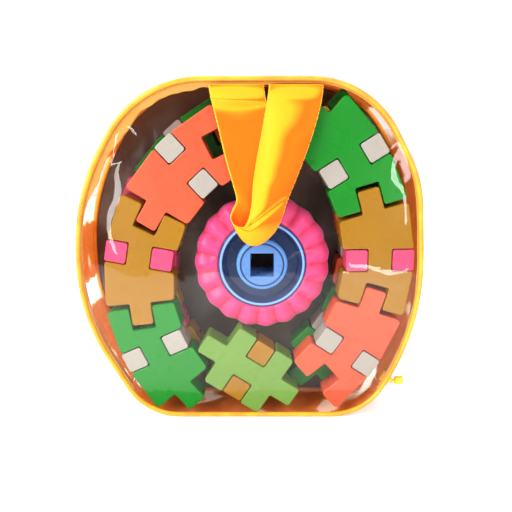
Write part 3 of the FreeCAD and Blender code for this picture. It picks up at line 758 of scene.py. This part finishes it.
# ---- Seam binding -------------------------------------------------------------------------
def binding_width(spot):
    """The turned-in seam is wide and ragged at the top left, and narrow elsewhere."""
    upper_left = smooth_step(-spot.x - 0.2 * (spot.y - CENTRE.y), -60 * MM, 30 * MM)
    upper_left *= smooth_step(spot.y, 150 * MM, 205 * MM)
    top = smooth_step(spot.y, 225 * MM, 245 * MM) * smooth_step(-spot.x, -10 * MM, 25 * MM)
    share = max(upper_left, 0.75 * top)
    width = (1.5 + 5.6 * share) * MM
    width += (0.5 + 3.0 * share) * MM * wave(spot.x, 0.0, spot.y, 48.0, 4.0)
    width += (0.2 + 0.9 * share) * MM * wave(spot.x, 0.0, spot.y, 120.0, 8.0)
    return max(0.8 * MM, width)


def make_binding():
    """The turned-in seam behind the front film."""
    count, across = 900, 8
    positions = OUTLINE.span_above(PANEL_INSET, FOLD_Z + 0.6 * MM, count)
    low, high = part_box("front_seam_binding")
    y = (low.y + high.y) / 2.0
    points = []
    for position in positions:
        spot, normal = OUTLINE.at(position, PANEL_INSET - 0.4 * MM)
        width = binding_width(spot)
        for step in range(across + 1):
            inward = width * step / across
            ripple = 0.2 * MM * wave(spot.x, inward, spot.y, 160.0, 3.0) * step / across
            points.append((
                spot.x - normal.x * inward,
                y + ripple,
                spot.y - normal.y * inward,
            ))
    piece = make_piece("seam_binding", points, grid_faces(count, across + 1), "binding")
    thicken(piece, 0.25 * MM)
    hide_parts("front_seam_binding")
    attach(piece, "flap")
    return piece


# ---- Zip coil -----------------------------------------------------------------------------
COIL_PITCH = 1.55 * MM
COIL_REACH = 0.22 * MM          # how far a tooth passes the middle of the zip
COIL_INSET = 0.65 * MM
COIL_FOOT = FOLD_Z + 1.3 * MM
TOOTH_SIDES = 8
TOOTH_OUT = 1.2 * MM            # half of a tooth's size away from the bag
TOOTH_ALONG = 0.52 * MM         # half of its size along the zip
# Share of a tooth's length from its root, and its size there.
TOOTH_STATIONS = ((0.0, 0.75), (0.35, 1.0), (0.75, 1.0), (0.93, 0.8), (1.0, 0.45))


def add_tooth(points, faces, spot, normal, y_root, y_tip):
    """Add one rounded tooth, which runs front to back, to a mesh in the making."""
    sides = TOOTH_SIDES
    along = Vector((-normal.y, normal.x))
    start = len(points)
    for share, size in TOOTH_STATIONS:
        y = y_root + (y_tip - y_root) * share
        for side in range(sides):
            angle = 2.0 * math.pi * side / sides
            out = TOOTH_OUT * size * math.cos(angle)
            slide = TOOTH_ALONG * size * math.sin(angle)
            flat = spot + normal * out + along * slide
            points.append((flat.x, y, flat.y))
    for row in range(len(TOOTH_STATIONS) - 1):
        ring = start + row * sides
        for side in range(sides):
            after = (side + 1) % sides
            faces.append((ring + side, ring + after, ring + sides + after, ring + sides + side))
    faces.append(tuple(start + side for side in range(sides)))
    end = start + (len(TOOTH_STATIONS) - 1) * sides
    faces.append(tuple(end + side for side in reversed(range(sides))))


def coil(name, node, body, towards):
    """One half of the zip's coil: a row of teeth that reach towards the other half."""
    low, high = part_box(node)
    y_root = low.y if towards > 0 else high.y
    y_tip = (high.y + COIL_REACH) if towards > 0 else (low.y - COIL_REACH)
    first, last = OUTLINE.span_above(COIL_INSET, COIL_FOOT, 2)
    length = run_length(OUTLINE.span_above(COIL_INSET, COIL_FOOT, 200), COIL_INSET)
    teeth = int(length / COIL_PITCH)
    offset = 0.25 if towards > 0 else 0.75
    points = []
    faces = []
    for tooth in range(teeth):
        position = first + (last - first) * ((tooth + offset) / teeth)
        spot, normal = OUTLINE.at(position, COIL_INSET)
        add_tooth(points, faces, spot, normal, y_root, y_tip)
    piece = make_piece(name, points, faces, "yellow_coil")
    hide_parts(node)
    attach(piece, body)


# ---- Wheel --------------------------------------------------------------------------------
TYRE_CROWN = 50.8 * MM
TYRE_SEAT = 32.6 * MM
RIB_DEPTH = 3.4 * MM
RIB_STEPS = 20                  # points from one rib to the next


def tyre_section(half):
    """The tyre's section: radius, distance from its middle plane, and share of a rib's depth."""
    front = [
        (TYRE_SEAT, half - 1.0 * MM, 0.0),
        (TYRE_SEAT + 1.4 * MM, half - 0.15 * MM, 0.15),
        (36.5 * MM, half, 0.8),
        (40.0 * MM, half, 1.0),
        (43.5 * MM, half - 0.5 * MM, 1.0),
        (46.2 * MM, half - 1.8 * MM, 1.0),
        (48.4 * MM, half - 4.0 * MM, 1.0),
        (49.9 * MM, half - 7.2 * MM, 1.0),
        (TYRE_CROWN - 0.2 * MM, half - 10.8 * MM, 0.9),
        (TYRE_CROWN, 0.0, 0.8),
    ]
    return front + [(radius, -axial, depth) for radius, axial, depth in reversed(front[:-1])]


def ribbed(radius, axial, drop, half):
    """A point of the section, moved in by a drop: axially at its sides, radially between them."""
    lean = min(1.0, abs(axial) / half)
    side = math.copysign(1.0, axial)
    if radius >= TYRE_SEAT + 1.0 * MM:
        radius -= drop * (0.25 + 0.30 * (1.0 - lean))
    return radius, axial - side * drop * lean


def make_tyre():
    """The tyre: radial ribs with sharp valleys between them, over a rounded section."""
    count = RIBS * RIB_STEPS
    low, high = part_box("tyre")
    middle = (low.y + high.y) / 2.0
    half = (high.y - low.y) / 2.0
    section = tyre_section(half)
    points = []
    for step in range(count):
        angle = 2.0 * math.pi * step / count
        within = (step % RIB_STEPS) / RIB_STEPS
        valley = abs(2.0 * within - 1.0) ** 1.25
        for radius, axial, depth in section:
            r, y = ribbed(radius, axial, RIB_DEPTH * valley * depth, half)
            points.append((
                WHEEL.x + r * math.cos(angle),
                middle - y,
                WHEEL.z + r * math.sin(angle),
            ))
    faces = grid_faces(count, len(section), True, True)
    piece = make_piece("tyre_ribbed", points, faces, "pink_rubber")
    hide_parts("tyre")
    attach(piece, "wheel")


# ---- Ribbon handle ------------------------------------------------------------------------
# Stations along the ribbon, from its left sewn end round the bottom to its right sewn end.
# Each is the left edge, the middle and the right edge, as (x, distance in front of HANDLE_BACK, z)
# in millimetres.
HANDLE_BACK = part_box("ribbon_handle")[1].y
RIBBON_STATIONS = [
    ((-27.0, 0.1, 246.0), (-8.4, 0.1, 246.0), (10.2, 0.1, 246.0)),
    ((-26.6, 0.3, 243.0), (-8.0, 0.8, 242.8), (10.5, 0.3, 242.6)),
    ((-25.4, 1.4, 236.5), (-7.0, 4.2, 235.6), (11.6, 1.2, 235.6)),
    ((-23.8, 0.5, 229.5), (-5.2, 1.0, 229.5), (13.3, 0.3, 230.5)),
    ((-20.8, 0.3, 217.0), (-2.4, 0.3, 217.0), (16.0, 0.2, 217.0)),
    ((-16.0, 0.3, 196.0), (2.4, 0.3, 194.0), (21.0, 0.2, 192.0)),
    ((-11.2, 0.5, 179.0), (7.0, 0.3, 176.0), (25.0, 0.2, 174.0)),
    ((-8.6, 1.4, 168.0), (9.6, 0.6, 158.0), (25.6, 0.4, 162.0)),
    ((-11.6, 3.8, 160.5), (5.0, 2.2, 142.5), (21.5, 1.6, 152.0)),
    ((-12.6, 7.6, 156.0), (0.6, 4.8, 136.4), (17.5, 3.4, 144.5)),
    ((-9.6, 10.6, 151.2), (4.0, 8.8, 138.6), (19.6, 4.8, 147.6)),
    ((-2.6, 10.8, 150.6), (8.4, 12.0, 150.0), (23.2, 6.4, 156.0)),
    ((1.6, 7.6, 162.0), (12.8, 11.4, 164.0), (27.0, 5.4, 168.0)),
    ((3.2, 4.0, 180.0), (16.6, 10.6, 181.0), (32.6, 4.2, 182.0)),
    ((5.6, 2.0, 196.0), (19.4, 9.4, 196.5), (38.6, 3.2, 197.5)),
    ((9.4, 1.0, 216.0), (24.6, 7.4, 216.0), (44.4, 2.2, 215.0)),
    ((11.8, 0.6, 230.0), (29.6, 4.6, 231.0), (48.2, 1.2, 229.0)),
    ((13.0, 0.6, 237.0), (31.6, 3.6, 237.5), (49.6, 0.8, 236.0)),
    ((13.8, 0.3, 242.6), (32.2, 0.8, 242.8), (50.4, 0.3, 242.6)),
    ((14.0, 0.1, 246.0), (32.6, 0.1, 246.0), (50.4, 0.1, 246.0)),
]


RIBBON_LINES = [
    [Vector((x * MM, HANDLE_BACK - ahead * MM, z * MM)) for x, ahead, z in line]
    for line in zip(*RIBBON_STATIONS)
]


def spline(values, place):
    """A Catmull-Rom curve through vectors, at a place from 0 to the last index."""
    index = min(int(place), len(values) - 2)
    t = place - index
    p1 = values[index]
    p2 = values[index + 1]
    p0 = values[index - 1] if index > 0 else p1 * 2.0 - p2
    p3 = values[index + 2] if index + 2 < len(values) else p2 * 2.0 - p1
    return 0.5 * (
        p1 * 2.0
        + (p2 - p0) * t
        + (p0 * 2.0 - p1 * 5.0 + p2 * 4.0 - p3) * (t * t)
        + (p1 * 3.0 - p0 - p2 * 3.0 + p3) * (t * t * t)
    )


def ribbon_point(place, across):
    """A point on the ribbon: place along the stations, across from -1 to 1."""
    left, middle, right = (spline(line, place) for line in RIBBON_LINES)
    one = 0.5 * across * (across - 1.0)
    two = 1.0 - across * across
    three = 0.5 * across * (across + 1.0)
    return left * one + middle * two + right * three


CREASE = (Vector((25.6, 169.5)) * MM, Vector((-0.6, 149.3)) * MM)
CREASE_STATIONS = (10.2, 11.0)  # the crease is only on the ribbon's front run
CREASE_DEPTH = 1.5 * MM
CREASE_WIDTH = 1.7 * MM


def crease_depth(place, x, z):
    """How far the diagonal crease above the fold dents the ribbon."""
    spot = Vector((x, z))
    nearest, share = geometry.intersect_point_line(spot, *CREASE)
    away = (spot - nearest.to_2d()).length / CREASE_WIDTH
    ends = smooth_step(share, -0.1, 0.15) * (1.0 - smooth_step(share, 0.85, 1.1))
    return CREASE_DEPTH * math.exp(-away * away) * ends * smooth_step(place, *CREASE_STATIONS)


def ribbon_grid(along, across):
    """Rows of points from one sewn end to the other, with small waves and the crease."""
    last = len(RIBBON_STATIONS) - 1
    points = []
    for row in range(along + 1):
        place = last * row / along
        slack = smooth_step(place, 0.5, 2.0) * (1.0 - smooth_step(place, last - 2.0, last - 0.5))
        for column in range(across + 1):
            spot = ribbon_point(place, 2.0 * column / across - 1.0)
            spot.y += 0.35 * MM * slack * wave(spot.x, 0.02 * place, spot.z, 42.0, 6.0)
            spot.y += crease_depth(place, spot.x, spot.z)
            points.append(spot)
    return points


def make_ribbon():
    along, across = 260, 40
    points = ribbon_grid(along, across)
    ribbon = make_piece("ribbon_loop", points, grid_faces(along + 1, across + 1), "ribbon")
    thicken(ribbon, 0.35 * MM)
    edges = make_edge_beads(points, along, across)
    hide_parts("ribbon_handle", "ribbon_sewn_ends")
    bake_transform(ribbon)
    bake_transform(edges)


def add_bead(points, faces, centre, size):
    """Add a small six-sided bead to a mesh in the making."""
    start = len(points)
    sides = 6
    for rise, girth in ((-0.6, 0.8), (0.6, 0.8)):
        for side in range(sides):
            angle = 2.0 * math.pi * side / sides
            points.append(centre + Vector((
                size * girth * math.cos(angle),
                size * rise,
                size * girth * math.sin(angle),
            )))
    points.append(centre + Vector((0.0, -size, 0.0)))
    points.append(centre + Vector((0.0, size, 0.0)))
    for side in range(sides):
        after = (side + 1) % sides
        faces.append((start + side, start + after, start + sides + after, start + sides + side))
        faces.append((start + 2 * sides, start + after, start + side))
        faces.append((start + 2 * sides + 1, start + sides + side, start + sides + after))


EDGE_PITCH = 1.5 * MM
EDGE_BEAD = 0.42 * MM


def make_edge_beads(grid, along, across):
    """The small beads along both edges of the ribbon."""
    points = []
    faces = []
    for column in (0, across):
        travelled = 0.0
        for row in range(1, along + 1):
            here = grid[row * (across + 1) + column]
            before = grid[(row - 1) * (across + 1) + column]
            travelled += (here - before).length
            if travelled >= EDGE_PITCH:
                travelled -= EDGE_PITCH
                add_bead(points, faces, here, EDGE_BEAD)
    return make_piece("ribbon_edge_beads", points, faces, "stitch")


# ---- Stage, light and camera --------------------------------------------------------------
def flat_card(name, corners):
    mesh = bpy.data.meshes.new(name)
    mesh.from_pydata(corners, [], [(0, 1, 2, 3)])
    card = bpy.data.objects.new(name, mesh)
    bpy.context.scene.collection.objects.link(card)
    return card


def make_stage():
    """A pale floor, a little bright of itself so that it joins the background."""
    side = 6.0
    corners = [(-side, -side, 0), (side, -side, 0), (side, side, 0), (-side, side, 0)]
    floor = flat_card("floor", corners)
    shader = Shader("floor_pale")
    soft = shader.noise(3.0, 2.0)
    shader.wire(shader.ramp(soft, (0.3, (0.88, 0.88, 0.88)), (0.7, (0.9, 0.9, 0.9))), "Base Color")
    shader.set(Roughness=0.9, Emission_Color=(1.0, 1.0, 1.0, 1.0), Emission_Strength=0.28)
    floor.data.materials.append(shader.material)


def make_flag(name, corners):
    """A dark studio card, seen only in reflections."""
    flag = flat_card(name, corners)
    shader = Shader(name + "_black")
    shader.set(Base_Color=(0.01, 0.01, 0.01, 1.0), Roughness=1.0)
    flag.data.materials.append(shader.material)
    flag.visible_camera = False
    flag.visible_diffuse = False
    flag.visible_shadow = False
    flag.visible_transmission = False


def make_flags():
    """One card stands just behind the camera, and a small one lies on the floor before the bag."""
    half, y, top = 2.5, -0.47, 1.6
    make_flag("flag", [(-half, y, 0.0), (half, y, 0.0), (half, y, top), (-half, y, top)])
    side, near, far, z = 0.2, -0.027, -0.062, 0.0015
    make_flag("floor_card", [(-side, far, z), (side, far, z), (side, near, z), (-side, near, z)])


def area_light(name, place, target, size, power, colour=(1.0, 1.0, 1.0)):
    data = bpy.data.lights.new(name, "AREA")
    data.shape = "RECTANGLE"
    data.size, data.size_y = size
    data.energy = power
    data.color = colour
    light = bpy.data.objects.new(name, data)
    light.location = place
    light.rotation_euler = (Vector(target) - Vector(place)).to_track_quat("-Z", "Y").to_euler()
    bpy.context.scene.collection.objects.link(light)
    return light


def make_streaks():
    """Narrow strip lights between the camera and the card, which draw streaks in the film."""
    y = -0.44
    for name, x, z, size, power in (
        ("streak_left", -0.188, 0.13, (0.010, 0.17), 0.11),
        ("streak_right", 0.213, 0.15, (0.010, 0.13), 0.09),
        ("streak_low", 0.175, 0.012, (0.09, 0.008), 0.05),
    ):
        light = area_light(name, (x, y, z), (0.5 * x, FRONT_Y, 0.5 * z + 0.1), size, power)
        light.visible_camera = False


def make_lights():
    middle = (0.0, 0.0, 0.12)
    area_light("key", (-0.95, -0.72, 0.75), middle, (0.8, 0.8), 34.0, (1.0, 0.99, 0.97))
    area_light("fill", (0.5, -1.1, 0.8), middle, (0.7, 0.7), 9.0)
    area_light("top", (0.1, 0.3, 1.3), middle, (0.9, 0.6), 12.0)
    make_streaks()
    world = bpy.data.worlds.new("studio")
    world.use_nodes = True
    nodes = world.node_tree.nodes
    links = world.node_tree.links
    nodes["Background"].inputs["Color"].default_value = (1.0, 1.0, 1.0, 1.0)
    path = nodes.new("ShaderNodeLightPath")
    strength = nodes.new("ShaderNodeMapRange")
    strength.inputs["To Min"].default_value = 0.8
    strength.inputs["To Max"].default_value = 1.05
    links.new(path.outputs["Is Camera Ray"], strength.inputs["Value"])
    links.new(strength.outputs["Result"], nodes["Background"].inputs["Strength"])
    bpy.context.scene.world = world


def make_camera():
    """The photograph's angle: square to the front, from 12 degrees above."""
    elevation = math.radians(12.0)
    distance = 400 * MM
    target = Vector((5.04, -25.0, 127.4)) * MM
    ahead = Vector((0.0, math.cos(elevation), -math.sin(elevation)))
    data = bpy.data.cameras.new("camera")
    data.sensor_width = 36.0
    data.lens = 39.1
    data.clip_start = 0.01
    camera = bpy.data.objects.new("camera", data)
    camera.location = target - ahead * distance
    camera.rotation_euler = ahead.to_track_quat("-Z", "Y").to_euler()
    bpy.context.scene.collection.objects.link(camera)
    bpy.context.scene.camera = camera


make_camera()
make_stage()
make_flags()
make_lights()
bpy.context.scene.view_settings.view_transform = "Standard"
paint_cad_nodes()
make_panels()
make_piping()
make_side_bands()
coil("zip_coil_front", "front_zip_coil", "flap", 1)
coil("zip_coil_rear", "rear_zip_coil", "bag", -1)
make_tyre()
make_ribbon()
